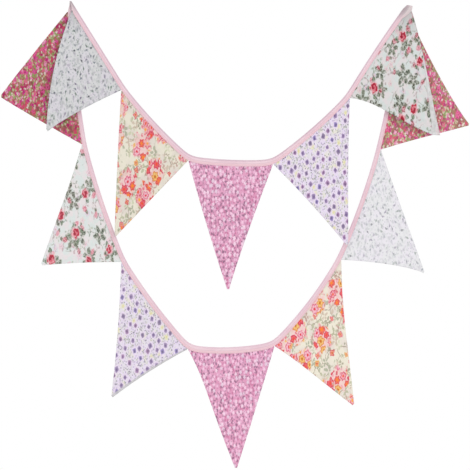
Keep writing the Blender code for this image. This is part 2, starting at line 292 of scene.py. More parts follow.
# The threads of the cloth in millimetres, how strongly they shade it and how rough it is
THREAD_PITCH = 0.45
SLUB_LENGTH = 14.0
SLUB_WIDTH = 0.7
WEAVE_DEPTH = 0.08
SLUB_RELIEF = 1.2
WEAVE_SHADE = 0.05
SLUB_SHADE = 0.10
CLOTH_ROUGHNESS = (0.78, 0.9)

# How dark the cloth is made near the hanging points, painted shade at its free edges and along
# its pressed seam ridges, and the pale colour that flags are mixed towards, partly painted light
APEX_SHADE = 0.26
EDGE_SHADE = 0.9
EDGE_SHADE_REACH = 1.6
RIDGE_SHADE = 0.965
PALE_TONE_AND_LIGHT = (244, 242, 248)

# The view: the width that it takes in, its middle, the camera's distance and how far the floor
# is below the flags
VIEW_WIDTH = 658.0
VIEW_MIDDLE = (228.9, -327.6)
VIEW_DISTANCE = 5000.0
FLOOR_DROP = 250.0
SENSOR = 36.0

# In metres: how far the view reaches, the floor, and the lamps from the view's middle
VIEW_LIMIT = 100.0
FLOOR_SIZE = 1.6
FLOOR_GRAIN = 0.02
LAMP_COLUMNS = ("name", "offset", "size", "power")
LAMPS = (
    ("key", (0.8, -2.85, 0.75), 2.2, 35.5),
    ("fill", (-2.2, -1.8, 0.3), 1.6, 8.0),
)

# The strength of the white light all round, on the camera's side and behind the bunting
SKY_IN_FRONT = 0.57
SKY_BEHIND = 1.0


# Shape of the cloth

def rows(columns, table):
    """Each row of a table as a dictionary of its named columns."""
    return [dict(zip(columns, row)) for row in table]


def smooth_step(value):
    value = np.clip(value, 0.0, 1.0)
    return value * value * (3.0 - 2.0 * value)


def right_of(vectors):
    """Unit vectors square to these in the X-Z plane, on their right: where the flags hang."""
    turned = np.stack([vectors[..., 1], -vectors[..., 0]], axis=-1)
    return turned / np.linalg.norm(turned, axis=-1, keepdims=True)


def swag_line(joints):
    """The folded edge in the X-Z plane as dense points, and the index of each joint."""
    joints = rows(JOINT_COLUMNS, joints)
    corners = np.array([(joint["x"], joint["z"]) for joint in joints])
    share = np.linspace(0.0, 1.0, SPAN_SAMPLES, endpoint=False)[:, None]
    spans = []
    for joint, start, end in zip(joints, corners[:-1], corners[1:]):
        bow = 4.0 * share * (1.0 - share) * joint["sag"]
        spans.append(start + (end - start) * share + right_of(end - start) * bow)
    line = np.vstack([*spans, corners[-1:]])
    return rounded(line), np.arange(len(corners)) * SPAN_SAMPLES


def run_length(points):
    """The distance along a line of points, from its first."""
    steps = np.linalg.norm(np.diff(points, axis=0), axis=-1)
    return np.concatenate([[0.0], np.cumsum(steps)])


def rounded(line):
    """The line with its corners rounded and its two ends kept."""
    length = run_length(line)
    near_end = np.minimum(length, length[-1] - length)
    spread = np.minimum(CORNER_ROUNDING, near_end / 2.0 + LEAST_ROUNDING)
    apart = (length[:, None] - length[None, :]) / spread[:, None]
    weight = np.exp(-0.5 * apart**2) * np.gradient(length)[None, :]
    smooth = weight @ line / weight.sum(axis=1, keepdims=True)
    smooth[0] = line[0]
    smooth[-1] = line[-1]
    return smooth


def tape_width(tangent):
    """The folded width of the tape for its direction in the X-Z plane."""
    level, upright = tangent[..., 0], tangent[..., 1]
    return np.hypot(TAPE_WIDTH_LEVEL * level, TAPE_WIDTH_UPRIGHT * upright)


def hang_swag(swag):
    """Points, flag-side normals and widths along a swag, as stations of span and share."""
    line, joint_index = swag_line(swag["joints"])
    tangent = np.gradient(line, axis=0)
    tangent /= np.linalg.norm(tangent, axis=1, keepdims=True)
    normal = right_of(tangent)
    width = tape_width(tangent)
    near_hook = smooth_step(1.0 - np.linalg.norm(line - RIGHT_POINT, axis=1) / HOOK_REACH)
    hook_normal = np.array([math.cos(HOOK_LEAN), -math.sin(HOOK_LEAN)])
    normal = normal * (1.0 - near_hook)[:, None] + np.outer(near_hook, hook_normal)
    normal /= np.linalg.norm(normal, axis=1, keepdims=True)
    width = width * (1.0 - near_hook) + HOOK_WIDTH * near_hook
    near_end = smooth_step(1.0 - np.linalg.norm(line - LEFT_POINT, axis=1) / LEFT_END_REACH)
    width = width * (1.0 - near_end) + LEFT_END_WIDTH * near_end
    share = np.linspace(0.0, 1.0, len(line))
    ends = LEFT_END_DEPTH * (1.0 - share) + HOOK_RADIUS * share
    depth = swag["side"] * (ends + swag["stand_off"] * np.sin(math.pi * share) ** 2)
    return {
        "side": swag["side"], "line": line, "normal": normal, "width": width,
        "depth": depth, "joint_index": joint_index,
    }


def station(hung, index):
    """The swag's values at a fractional index along its dense line."""
    grid = np.arange(len(hung["line"]))
    x, z = (np.interp(index, grid, hung["line"][:, axis]) for axis in (0, 1))
    across_x, across_z = (np.interp(index, grid, hung["normal"][:, axis]) for axis in (0, 1))
    depth = np.interp(index, grid, hung["depth"])
    width = np.interp(index, grid, hung["width"])
    return np.array([x, depth, z]), np.array([across_x, 0.0, across_z]), width


def edge_bow(share, peak):
    """How a free edge bows along its length: 0 at both ends and 1 at the peak."""
    rise = share / peak
    fall = (1.0 - share) / (1.0 - peak)
    return rise * fall ** (1.0 / peak - 1.0)


def outward_of(edge, inside):
    """The unit vector square to an edge in the X-Z plane, away from the inside direction."""
    out = np.array([edge[2], 0.0, -edge[0]])
    out /= np.linalg.norm(out)
    return -out if out @ inside > 0 else out


def hang_depth(hang, across, down):
    """How far the cloth stands off its plane, at shares across and down the flag."""
    settle = smooth_step(down / SETTLE_SHARE)
    fold = np.sin(TURN * (hang["folds"] * across + hang["shift"]))
    curl = hang["curl_left"] * (1.0 - across) ** CURL_POWER
    curl = curl + hang["curl_right"] * across**CURL_POWER
    depth = hang["crown"] * np.sin(math.pi * across) * math.sin(math.pi * down**CROWN_POWER)
    depth = depth + curl * math.sin(math.pi * down)
    depth = depth + hang["tip_lift"] * down**TIP_POWER
    depth = depth + hang["fold_depth"] * fold * (1.0 - down) ** FOLD_POWER
    return depth * settle


def column_shares():
    """The shares across a flag, closer together near its free edges."""
    edge = np.array(EDGE_SHARES)
    inner = np.linspace(INNER_START, 1.0 - INNER_START, INNER_COLUMNS)
    return np.concatenate([edge, inner, 1.0 - edge[::-1]])


def row_shares():
    """The shares down a flag, closer together at the tape and at the point."""
    even = np.linspace(0.0, 1.0, FLAG_ROWS)
    return even - ROW_CROWDING * np.sin(TURN * even) / TURN


def flag_middle(flag, hang, hung):
    """The flag's middle surface without its small relief, as points[row][column]."""
    first = hung["joint_index"][flag["span"]]
    last = hung["joint_index"][flag["span"] + 1]
    per_index = run_length(hung["line"][first:last + 1])[-1] / (last - first)
    start = first + (flag["bare_left"] + NEIGHBOUR_GAP) / per_index
    end = last - (flag["bare_right"] + NEIGHBOUR_GAP) / per_index
    shares = column_shares()

    tops, mouths = [], []
    for index in start + (end - start) * shares:
        point, across, width = station(hung, index)
        tops.append(point + across * SEAM_START)
        mouths.append(point + across * (width + SEAM_EXIT))
    mouths = np.array(mouths)

    tip = np.array([flag["tip_x"], 0.0, flag["tip_z"]])
    base = mouths[-1] - mouths[0]
    slant = math.atan2(base[2], base[0]) + math.radians(flag["tip_turn"])
    along = np.array([math.cos(slant), 0.0, math.sin(slant)])
    tips = tip + np.outer((shares - 0.5) * flag["tip_width"], along)
    left_out = outward_of(tips[0] - mouths[0], base)
    right_out = outward_of(tips[-1] - mouths[-1], -base)

    points = [tops]
    for down in row_shares():
        flat = mouths * (1.0 - down) + tips * down
        flat[:, 1] = mouths[:, 1] * (1.0 - down) + hung["side"] * HOOK_RADIUS * down
        left_bow = flag["bow_left"] * edge_bow(down, flag["peak_left"])
        right_bow = flag["bow_right"] * edge_bow(down, flag["peak_right"])
        flat += np.outer(1.0 - shares, left_out) * left_bow
        flat += np.outer(shares, right_out) * right_bow
        flat[:, 1] += hung["side"] * hang_depth(hang, shares, down)
        points.append(flat)
    return np.array(points)


def surface_normals(points):
    """Unit normals of a grid of points."""
    down = np.gradient(points, axis=0)
    across = np.gradient(points, axis=1)
    normal = np.cross(across, down)
    return normal / np.linalg.norm(normal, axis=-1, keepdims=True)


def edge_distance(points):
    """How far each place on a flag is from its left and right free edges and its point."""
    across = np.linalg.norm(np.diff(points, axis=1), axis=-1)
    from_left = np.concatenate([np.zeros((len(points), 1)), np.cumsum(across, axis=1)], axis=1)
    from_right = from_left[:, -1:] - from_left
    middle = points[:, points.shape[1] // 2]
    from_tip = run_length(middle[::-1])[::-1]
    return from_left, from_right, np.repeat(from_tip[:, None], points.shape[1], axis=1)


def wave(distance, length, phase):
    """An uneven wave along a seam."""
    sway = np.sin(TURN * distance / (length * UNEVEN_LONGER) + phase)
    return np.sin(TURN * distance / length + phase + UNEVEN_SWAY * sway)


def crease_relief(points, flag):
    """The soft creases of a flag, in millimetres along its outward side."""
    relief = np.zeros(points.shape[:2])
    last_row, last_column = points.shape[0] - 1, points.shape[1] - 1
    for crease in rows(CREASE_COLUMNS, CREASES):
        if crease["flag"] != flag["name"]:
            continue
        ends = []
        for which in ("from", "to"):
            row = round(crease[which + "_down"] * last_row)
            column = np.searchsorted(column_shares(), crease[which + "_across"])
            ends.append(points[row, min(column, last_column)])
        start, end = ends
        along = end - start
        share = np.clip(((points - start) @ along) / (along @ along), 0.0, 1.0)
        near = np.linalg.norm(points - start - share[..., None] * along, axis=-1)
        fade = smooth_step(share / CREASE_FADE) * smooth_step((1.0 - share) / CREASE_FADE)
        relief -= crease["depth"] * np.exp(-(near / crease["width"]) ** 2) * fade
    return relief


def flag_relief(points, flag):
    """Puckers, creases and the unevenness of the cloth, in millimetres outward."""
    phase = sum(ord(letter) for letter in flag["name"]) % 7
    from_left, from_right, from_tip = edge_distance(points)
    from_mouth = from_tip[:1] - from_tip
    height, length, reach = EDGE_PUCKER
    left = wave(from_mouth, length, phase) * np.exp(-(from_left / reach) ** 2)
    right = wave(from_mouth, length * RIGHT_EDGE_LONGER, phase + 2.0)
    relief = height * (left + right * np.exp(-(from_right / reach) ** 2))
    height, length, reach = MOUTH_PUCKER
    relief += height * wave(from_left, length, phase + 1.0) * np.exp(-from_mouth / reach)
    for length, slope, shift in DRIFT_WAVES:
        angle = TURN * (points[..., 0] + slope * points[..., 2]) / length + shift + phase
        relief += DRIFT_HEIGHT * np.sin(angle) / len(DRIFT_WAVES)
    relief += crease_relief(points, flag)
    return relief * smooth_step((from_mouth - RELIEF_STARTS) / (RELIEF_FULL - RELIEF_STARTS))


def turned_strip(points, flag):
    """How far inside its turned strip each point of a flag is, in millimetres."""
    start, width, _, _ = TURNED.get(flag["name"], NOT_TURNED)
    down = np.concatenate([[0.0], row_shares()])
    _, from_right, _ = edge_distance(points)
    reach = width * np.clip((down - start) / (1.0 - start), 0.0, 1.0)
    return reach[:, None] - from_right


def flag_half(points):
    """Half the thickness of a flag: thicker over its turned seams, round at its edges."""
    from_left, from_right, from_tip = edge_distance(points)
    near = np.minimum(np.minimum(from_left, from_right), from_tip)
    seam = 1.0 - smooth_step((near - SEAM_STEP[0]) / (SEAM_STEP[1] - SEAM_STEP[0]))
    body = FLAG_HALF + (SEAM_HALF - FLAG_HALF) * seam
    inside = np.clip(near / EDGE_ROUND, 0.0, 1.0)
    return body * np.sqrt(1.0 - (1.0 - inside) ** 2), near


def fold_path(width):
    """The tape's section: inward and outward places of its wall from leg edge to leg edge,
    with the distance of each from its nearest free edge."""
    leg = width - FOLD_CENTRE
    inward = [width - leg * share for share in LEG_SHARES]
    front = [(place, LEG_OFFSET) for place in inward]
    angles = [math.pi * step / FOLD_STEPS for step in range(FOLD_STEPS + 1)]
    arc = [(FOLD_CENTRE - LEG_OFFSET * math.sin(angle), LEG_OFFSET * math.cos(angle))
           for angle in angles]
    back = [(place, -LEG_OFFSET) for place in inward[::-1]]
    path = np.array(front + arc + back)
    run = run_length(path)
    return path, np.minimum(run, run[-1] - run)


def tape_stations(swags):
    """Every station of the tape: upper swag, over the hook, lower swag back."""
    found = []
    for name, backwards in (("upper", False), ("lower", True)):
        hung = swags[name]
        outward = np.array([0.0, hung["side"], 0.0])
        steps = (len(hung["joint_index"]) - 1) * TAPE_STATIONS
        stations = np.linspace(0.0, hung["joint_index"][-1], steps + 1)
        if backwards:
            found += hook_stations()
            stations = stations[::-1]
        for index in stations:
            point, across, width = station(hung, index)
            found.append((point, across, outward, width))
    return found


def hook_stations():
    """Stations round the half turn over the right hanging point, without its two ends."""
    up = np.array([math.sin(HOOK_LEAN), 0.0, math.cos(HOOK_LEAN)])
    across = np.array([math.cos(HOOK_LEAN), 0.0, -math.sin(HOOK_LEAN)])
    centre = np.array([RIGHT_POINT[0], 0.0, RIGHT_POINT[1]])
    found = []
    for step in range(1, HOOK_STEPS):
        angle = math.pi * step / HOOK_STEPS
        outward = np.array([0.0, -math.cos(angle), 0.0]) + up * math.sin(angle)
        inset = HOOK_INSET * math.sin(angle)
        point = centre + outward * HOOK_RADIUS + across * inset
        found.append((point, across, outward, HOOK_WIDTH - inset))
    return found


def tape_middle(stations):
    """The tape's middle surface, its half thickness, what its colours follow (the share of its
    width, the nearness of a hanging point and the swag in front) and its length."""
    run = run_length(np.array([point for point, _, _, _ in stations]))
    height, length = TAPE_PUCKER
    middle, half = [], []
    marks = {"band": [], "apex": [], "front": []}
    for distance, (point, across, outward, width) in zip(run, stations):
        path, from_edge = fold_path(width)
        share = np.clip(from_edge / (width - FOLD_CENTRE), 0.0, 1.0)
        pucker = height * 0.5 * (1.0 + wave(distance, length, 0.7)) * (1.0 - smooth_step(share))
        side = np.sign(path[:, 1])
        trough = np.exp(-((from_edge - STITCH_INSET) / SEWN_TROUGH_WIDTH) ** 2)
        draw_in = MOUTH_DRAW_IN * (1.0 - smooth_step(share / MOUTH_DRAW_SHARE))
        off = path[:, 1] + side * (pucker - draw_in - SEWN_TROUGH * trough)
        middle.append(point + np.outer(path[:, 0], across) + np.outer(off, outward))
        inside = np.clip(from_edge / TAPE_HALF, 0.0, 1.0)
        half.append(TAPE_HALF * np.sqrt(1.0 - (1.0 - inside) ** 2))
        marks["band"].append(share)
        marks["apex"].append(np.full_like(share, near_hanging_point(point, APEX_REACH)))
        marks["front"].append(np.full_like(share, (1.0 - outward[1]) / 2))
    marks = {mark: np.array(values) for mark, values in marks.items()}
    return np.array(middle), np.array(half), marks, run


def near_hanging_point(points, reach):
    """1 at either hanging point, falling to 0 at the reach from it."""
    away = [np.hypot(points[..., 0] - x, points[..., 2] - z)
            for x, z in (LEFT_POINT, RIGHT_POINT)]
    return 1.0 - smooth_step(np.minimum(*away) / reach)


def thin_cloth(name, middle, half, marks):
    """A closed thin sheet round a middle surface, with its values marked on the points."""
    normal = surface_normals(middle) * half[..., None]
    first, second = middle + normal, middle - normal
    ring = np.concatenate([first, second[:, -2:0:-1]], axis=1)
    row_count, ring_count = ring.shape[:2]
    columns = middle.shape[1]

    here = np.arange(ring_count)
    after = (here + 1) % ring_count
    faces = []
    for row in range(row_count - 1):
        near, far = row * ring_count, (row + 1) * ring_count
        faces += np.stack([near + here, near + after, far + after, far + here], axis=1).tolist()
    opposite = [0, *range(ring_count - 1, columns - 1, -1), columns - 1]
    for column in range(columns - 1):
        strip = [column, opposite[column], opposite[column + 1], column + 1]
        faces.append(list(dict.fromkeys(strip)))
        base = (row_count - 1) * ring_count
        faces.append([base + corner for corner in dict.fromkeys(strip[::-1])])

    around = {mark: np.concatenate([values, values[:, -2:0:-1]], axis=1)
              for mark, values in marks.items()}
    return smooth_piece(name, ring.reshape(-1, 3), faces, around)


def smooth_piece(name, points, faces, marks):
    """A smooth object of these points and faces, with its faces turned outwards."""
    mesh = bpy.data.meshes.new(name)
    mesh.from_pydata((points * MM).tolist(), [], faces)
    for mark, values in marks.items():
        layer = mesh.attributes.new(mark, "FLOAT", "POINT")
        layer.data.foreach_set("value", values.ravel().astype(np.float32))
    mesh.validate()
    if signed_volume(mesh) < 0:
        mesh.flip_normals()
    mesh.shade_smooth()
    return added(name, mesh)


def added(name, data):
    """A new object in the scene."""
    obj = bpy.data.objects.new(name, data)
    bpy.context.scene.collection.objects.link(obj)
    return obj


def signed_volume(mesh):
    mesh.calc_loop_triangles()
    points = np.empty(len(mesh.vertices) * 3)
    mesh.vertices.foreach_get("co", points)
    corners = np.empty(len(mesh.loop_triangles) * 3, dtype=np.int32)
    mesh.loop_triangles.foreach_get("vertices", corners)
    triangle = points.reshape(-1, 3)[corners.reshape(-1, 3)]
    return np.einsum("ij,ij->", triangle[:, 0], np.cross(triangle[:, 1], triangle[:, 2])) / 6.0


def stitch_row(middle, half, column, beyond):
    """Stitches along the tape between two of its columns, as points and faces."""
    out = surface_normals(middle) * outer_side(middle, column)
    outer = middle + out * half[..., None]
    line = (outer[:, column] + outer[:, beyond]) / 2
    path = run_length(line)

    def along(values, place):
        return np.array([np.interp(place, path, values[:, axis]) for axis in range(3)])

    angles = TURN * np.arange(STITCH_SIDES) / STITCH_SIDES
    corners = np.arange(STITCH_SIDES)
    points, faces = [], []
    for stitch in range(2, int(path[-1] / STITCH_PITCH) - 1):
        base = len(points)
        for place, size in STITCH_RINGS:
            at = stitch * STITCH_PITCH + place * STITCH_LENGTH
            point, up = along(line, at), along(out[:, column], at)
            ahead = along(line, at + STITCH_AHEAD) - point
            beside = np.cross(ahead, up)
            beside /= np.linalg.norm(beside)
            arch = (1.0 - 4.0 * place * place) * STITCH_ARCH - STITCH_SUNK
            lift = (arch + np.sin(angles) * size) * STITCH_RADIUS
            reach = np.cos(angles) * size * STITCH_RADIUS
            points += list(point + np.outer(lift, up) + np.outer(reach, beside))
        for low in range(base, len(points) - STITCH_SIDES, STITCH_SIDES):
            here, after = low + corners, low + (corners + 1) % STITCH_SIDES
            ring = [here, after, after + STITCH_SIDES, here + STITCH_SIDES]
            faces += np.stack(ring, axis=1).tolist()
        faces.append((base + corners[::-1]).tolist())
        faces.append((len(points) - STITCH_SIDES + corners).tolist())
    return points, faces


def stitching(middle, half):
    """The line of stitches on both faces of the tape as one joined mesh."""
    inset = [index for index, share in enumerate(LEG_SHARES) if share >= STITCHED_SHARE][0]
    last = middle.shape[1] - 1 - inset
    points, faces = [], []
    for column, beyond in ((inset, inset + 1), (last, last - 1)):
        more_points, more_faces = stitch_row(middle, half, column, beyond)
        faces += [[corner + len(points) for corner in face] for face in more_faces]
        points += more_points
    return smooth_piece("tape_stitching", np.array(points), faces, {})


def outer_side(middle, column):
    """The sign of the normals that point out of the folded tape at one column."""
    opposite = middle.shape[1] - 1 - column
    outward = middle[0, column] - middle[0, opposite]
    return 1.0 if surface_normals(middle)[0, column] @ outward > 0 else -1.0


# Materials

def tint(red, green, blue):
    """A screen colour as a linear one."""
    channels = [value / 255.0 for value in (red, green, blue)]
    linear = [c / 12.92 if c <= 0.04045 else ((c + 0.055) / 1.055) ** 2.4 for c in channels]
    return (*linear, 1.0)


class Nodes:
    """Short forms for the nodes of one material."""

    def __init__(self, tree):
        self.tree = tree
        tree.nodes.clear()

    def put(self, kind, inputs, **settings):
        """A new node, with values or other nodes' outputs on its inputs."""
        node = self.tree.nodes.new("ShaderNode" + kind)
        for name, value in settings.items():
            setattr(node, name, value)
        for key, value in inputs.items():
            if isinstance(value, bpy.types.NodeSocket):
                self.tree.links.new(value, node.inputs[key])
            else:
                node.inputs[key].default_value = value
        return node

    def math(self, operation, *values):
        return self.put("Math", dict(enumerate(values)), operation=operation).outputs[0]

    def times(self, first, *others):
        """The product of several numbers."""
        for other in others:
            first = self.math("MULTIPLY", first, other)
        return first

    def vector(self, operation, *values):
        node = self.put("VectorMath", dict(enumerate(values)), operation=operation)
        return node.outputs["Value" if operation == "LENGTH" else "Vector"]

    def scaled(self, value, factor):
        """A colour or a place times a number."""
        inputs = {"Vector": value, "Scale": factor}
        return self.put("VectorMath", inputs, operation="SCALE").outputs[0]

    def mix(self, share, first, second):
        """A colour between two others."""
        return self.put("Mix", {0: share, 6: first, 7: second}, data_type="RGBA").outputs[2]

    def span(self, value, low, high, to_low=0.0, to_high=1.0):
        """The value taken smoothly from one range to another."""
        inputs = {0: value, 1: low, 2: high, 3: to_low, 4: to_high}
        return self.put("MapRange", inputs, interpolation_type="SMOOTHSTEP").outputs[0]

    def fall(self, value, low, high):
        """1 below this range and 0 above it."""
        return self.span(value, low, high, 1.0, 0.0)

    def mark(self, name):
        """A value that was marked on the points of the cloth."""
        return self.put("Attribute", {}, attribute_name=name).outputs["Fac"]

    def parts(self, place):
        """The X, Y and Z of a place."""
        return self.put("SeparateXYZ", {0: place}).outputs

    def object_place(self):
        return self.put("TexCoord", {}).outputs["Object"]

    def front_place(self):
        """The place on the cloth as seen from the front, without its depth."""
        parts = self.parts(self.object_place())
        return self.put("CombineXYZ", {0: parts[0], 1: parts[2]}).outputs[0]

    def mapped(self, place, scale, shift=(0.0, 0.0), turn=0.0):
        """A flat place scaled, then turned, then shifted."""
        inputs = {"Vector": place, "Location": (*shift, 0.0), "Rotation": (0.0, 0.0, turn),
                  "Scale": (*scale, 0.0)}
        return self.put("Mapping", inputs).outputs[0]

    def noise(self, place, size, detail=2.0):
        """Uneven values of this size in millimetres: a single one, and a colour of three."""
        inputs = {"Vector": place, "Scale": 1.0 / size, "Detail": detail}
        return self.put("TexNoise", inputs, noise_dimensions="2D").outputs

    def patches(self, place, size, low, high, detail=2.0, least=0.0, most=1.0):
        """Soft patches: the least where the noise is under low, the most where it is over high."""
        return self.span(self.noise(place, size, detail)[0], low, high, least, most)

    def ragged(self, place, size, reach, detail=2.0):
        """The place shifted unevenly, so that what is drawn there has a ragged outline."""
        shift = self.vector("SUBTRACT", self.noise(place, size, detail)[1], (0.5, 0.5, 0.5))
        return self.vector("ADD", place, self.scaled(shift, reach))

    def voronoi(self, place, pitch, spread, shift, **settings):
        """Cells a pitch apart: the place in their units, and the cells' values there."""
        cells = self.mapped(place, (1.0 / pitch, 1.0 / pitch), shift)
        inputs = {"Vector": cells, "Scale": 1.0, "Randomness": spread}
        return cells, self.put("TexVoronoi", inputs, voronoi_dimensions="2D", **settings).outputs

    def scatter(self, place, pitch, spread, shift, vary=0.0):
        """Motif places a pitch apart: each point's place in its motif's own turned axes, in
        millimetres at a size that varies by this share, and its three random values, for its
        turn, its hue, and its size and showing."""
        cells, found = self.voronoi(place, pitch, spread, (shift, shift * 1.7))
        local = self.vector("SUBTRACT", cells, found["Position"])
        chance = self.put("SeparateColor", {0: found["Color"]}).outputs
        size = self.math("MULTIPLY_ADD", chance[2], vary * pitch, (1.0 - vary / 2) * pitch)
        inputs = {"Vector": self.scaled(local, size), "Angle": self.times(chance[0], TURN)}
        return self.put("VectorRotate", inputs, rotation_type="Z_AXIS").outputs[0], chance

    def hue(self, chance, *colours):
        """One of several screen colours for each motif."""
        node = self.put("ValToRGB", {0: chance[1]})
        ramp = node.color_ramp
        ramp.interpolation = "CONSTANT"
        while len(ramp.elements) < len(colours):
            ramp.elements.new(0.5)
        places = [index / len(colours) for index in range(len(colours))]
        for element, place, colour in zip(ramp.elements, places, colours):
            element.position = place
            element.color = tint(*colour)
        return node.outputs[0]

    def chosen(self, chance, share):
        """1 for this share of the motifs and 0 for the others."""
        return self.math("LESS_THAN", chance[2], share)

    def polar(self, place):
        """The distance and the angle from a motif's middle."""
        parts = self.parts(place)
        return self.vector("LENGTH", place), self.math("ARCTAN2", parts[1], parts[0])

    def spot(self, under, place, size, colour, shown, centre=(0.0, 0.0), blur=0.3):
        """An oval of this width and height on what is under it."""
        width, height = size
        inputs = {"Vector": place, "Location": (*centre, 0.0),
                  "Scale": (width / 2, height / 2, 1.0)}
        local = self.put("Mapping", inputs, vector_type="TEXTURE").outputs[0]
        inside = self.fall(self.vector("LENGTH", local), 1.0 - blur, 1.0 + blur)
        return self.mix(self.times(inside, shown), under, colour)

    def spray(self, under, place, leaves, size, colour, shown=1.0, start=0.15):
        """Leaves of this length and width round a point, each from start to 1 of the length."""
        length, width = size
        radius, angle = self.polar(place)
        sector = TURN / leaves
        turned = self.math("WRAP", angle, sector / 2, -sector / 2)
        along, aside = (self.times(radius, self.math(kind, turned)) for kind in ("COSINE", "SINE"))
        local = self.put("CombineXYZ", {0: along, 1: aside}).outputs[0]
        return self.spot(under, local, (length * (1.0 - start), width), colour, shown,
                         (length * (1.0 + start) / 2, 0.0), LEAF_BLUR)

    def flower(self, under, place, size, petals, colours, shown=1.0, notch=0.2, core=0.26,
               rim=0.3):
        """A round flower on what is under it, in its outer, inner and heart colours. The notch
        between its petals, its core and where its rim starts are shares of its radius."""
        outer, inner, heart = colours
        radius, angle = self.polar(place)
        lobes = self.math("COSINE", self.times(angle, float(petals)))
        reach = self.math("MULTIPLY_ADD", lobes, notch, 1.0 - notch)
        share = self.math("DIVIDE", self.math("DIVIDE", radius, size / 2), reach)
        petal = self.mix(self.span(share, rim, RIM_END), inner, outer)
        petal = self.scaled(petal, self.span(lobes, -1.0, PETAL_SHADE_END, PETAL_SHADE, 1.0))
        colour = self.mix(self.times(self.fall(share, *FLOWER_EDGE), shown), under, petal)
        heart_edge = (core - HEART_BLUR[0], core + HEART_BLUR[1])
        return self.mix(self.times(self.fall(share, *heart_edge), shown), colour, heart)

    def lines(self, place, pitch, width, shift):
        """Thin wandering lines, such as stems."""
        _, edges = self.voronoi(place, pitch, 1.0, (shift, -shift), feature="DISTANCE_TO_EDGE")
        inner, outer = (width / 2 / pitch * share for share in LINE_EDGE)
        return self.fall(edges["Distance"], inner, outer)

    def surface(self, inputs):
        """The material's shader, with its output."""
        self.put("OutputMaterial", {0: self.put("BsdfPrincipled", inputs).outputs[0]})


# The prints, from the ground up: each motif is scattered, given its hues and drawn on what is
# under it, with its sizes in millimetres

def grey_print(n, place):
    ground = n.mix(n.patches(place, 26.0, 0.4, 0.62), tint(219, 219, 220), tint(222, 218, 225))
    faint = n.patches(place, 5.0, 0.5, 0.68, detail=3.0, most=0.6)
    ground = n.mix(faint, ground, tint(205, 210, 208))
    dot, chance = n.scatter(place, pitch=5.0, spread=0.95, shift=5.3, vary=0.6)
    hue = n.hue(chance, (150, 158, 166), (150, 164, 154), (164, 154, 174))
    shown = n.span(chance[2], 0.1, 1.0, 0.15, 0.75)
    colour = n.spot(ground, dot, (2.2, 3.0), hue, shown)
    sprig, chance = n.scatter(place, pitch=9.4, spread=0.95, shift=2.1, vary=0.6)
    hue = n.hue(chance, (108, 112, 122), (112, 130, 118), (124, 114, 138), (128, 136, 144),
                (80, 84, 92), (116, 130, 126))
    shown = n.span(chance[2], 0.15, 1.0, 0.25, 1.0)
    colour = n.spray(colour, sprig, 2, (5.0, 2.2), hue, n.times(shown, 0.5), start=0.1)
    return n.spot(colour, sprig, (4.6, 3.6), hue, shown, (0.5, 0.9), blur=0.4)


def cream_print(n, place):
    ground = n.mix(n.patches(place, 34.0, 0.4, 0.62), tint(235, 229, 212), tint(228, 219, 209))
    ragged = n.ragged(place, 4.0, 3.4)
    fade = n.noise(place, 22.0)[0]
    stem = n.times(n.lines(ragged, 18.0, 1.2, 3.3), n.span(fade, 0.40, 0.52), 0.7)
    colour = n.mix(stem, ground, tint(150, 134, 110))
    leaf, chance = n.scatter(ragged, pitch=13.5, spread=0.9, shift=7.7, vary=0.5)
    hue = n.hue(chance, (182, 184, 152), (166, 172, 146), (206, 186, 168), (200, 204, 170),
                (152, 148, 124), (190, 150, 140))
    shown = n.times(n.span(fade, 0.38, 0.48), 0.8)
    colour = n.spray(colour, leaf, 4, (8.4, 3.8), hue, shown)

    cluster, _ = n.scatter(place, pitch=50.0, spread=0.55, shift=1.4)
    edge = n.times(n.noise(place, 10.0)[0], 19.0)
    reach = n.math("SUBTRACT", n.vector("LENGTH", cluster), edge)
    inside = n.fall(reach, 7.2, 10.2)
    colour = n.mix(n.times(n.fall(reach, 2.0, 12.0), 0.8), colour, tint(240, 202, 198))
    bud, chance = n.scatter(ragged, pitch=8.2, spread=0.9, shift=9.1, vary=0.5)
    hue = n.hue(chance, (222, 92, 116), (236, 156, 170), (186, 104, 106), (236, 176, 84),
                (240, 198, 200), (212, 70, 92))
    colour = n.spot(colour, bud, (3.8, 6.2), hue, n.times(n.fall(reach, 8.0, 13.0), 0.85))

    bloom, chance = n.scatter(ragged, pitch=15.5, spread=0.55, shift=4.2, vary=0.35)
    outer = n.hue(chance, (212, 62, 98), (218, 70, 84), (222, 88, 128), (222, 128, 74),
                  (204, 50, 84), (222, 92, 120))
    inner = n.hue(chance, (243, 168, 180), (240, 118, 92), (245, 190, 202), (243, 196, 120),
                  (236, 104, 112), (244, 180, 178))
    heart = n.hue(chance, (238, 92, 48), (250, 140, 46), (226, 70, 84), (208, 120, 44),
                  (240, 84, 50), (246, 168, 70))
    halo = n.times(inside, 0.65)
    colour = n.spot(colour, bloom, (16.6, 16.6), tint(244, 210, 208), halo, blur=0.12)
    colour = n.flower(colour, bloom, 15.0, 6, (outer, inner, heart), inside, notch=0.12,
                      core=0.3, rim=0.55)
    loose, chance = n.scatter(ragged, pitch=25.0, spread=0.8, shift=6.6, vary=0.4)
    shown = n.times(n.chosen(chance, 0.6), n.math("SUBTRACT", 1.0, inside))
    outer = n.hue(chance, (216, 78, 98), (234, 172, 74), (224, 110, 134))
    colours = (outer, tint(241, 170, 140), tint(216, 96, 52))
    return n.flower(colour, loose, 9.0, 4, colours, shown, notch=0.16)


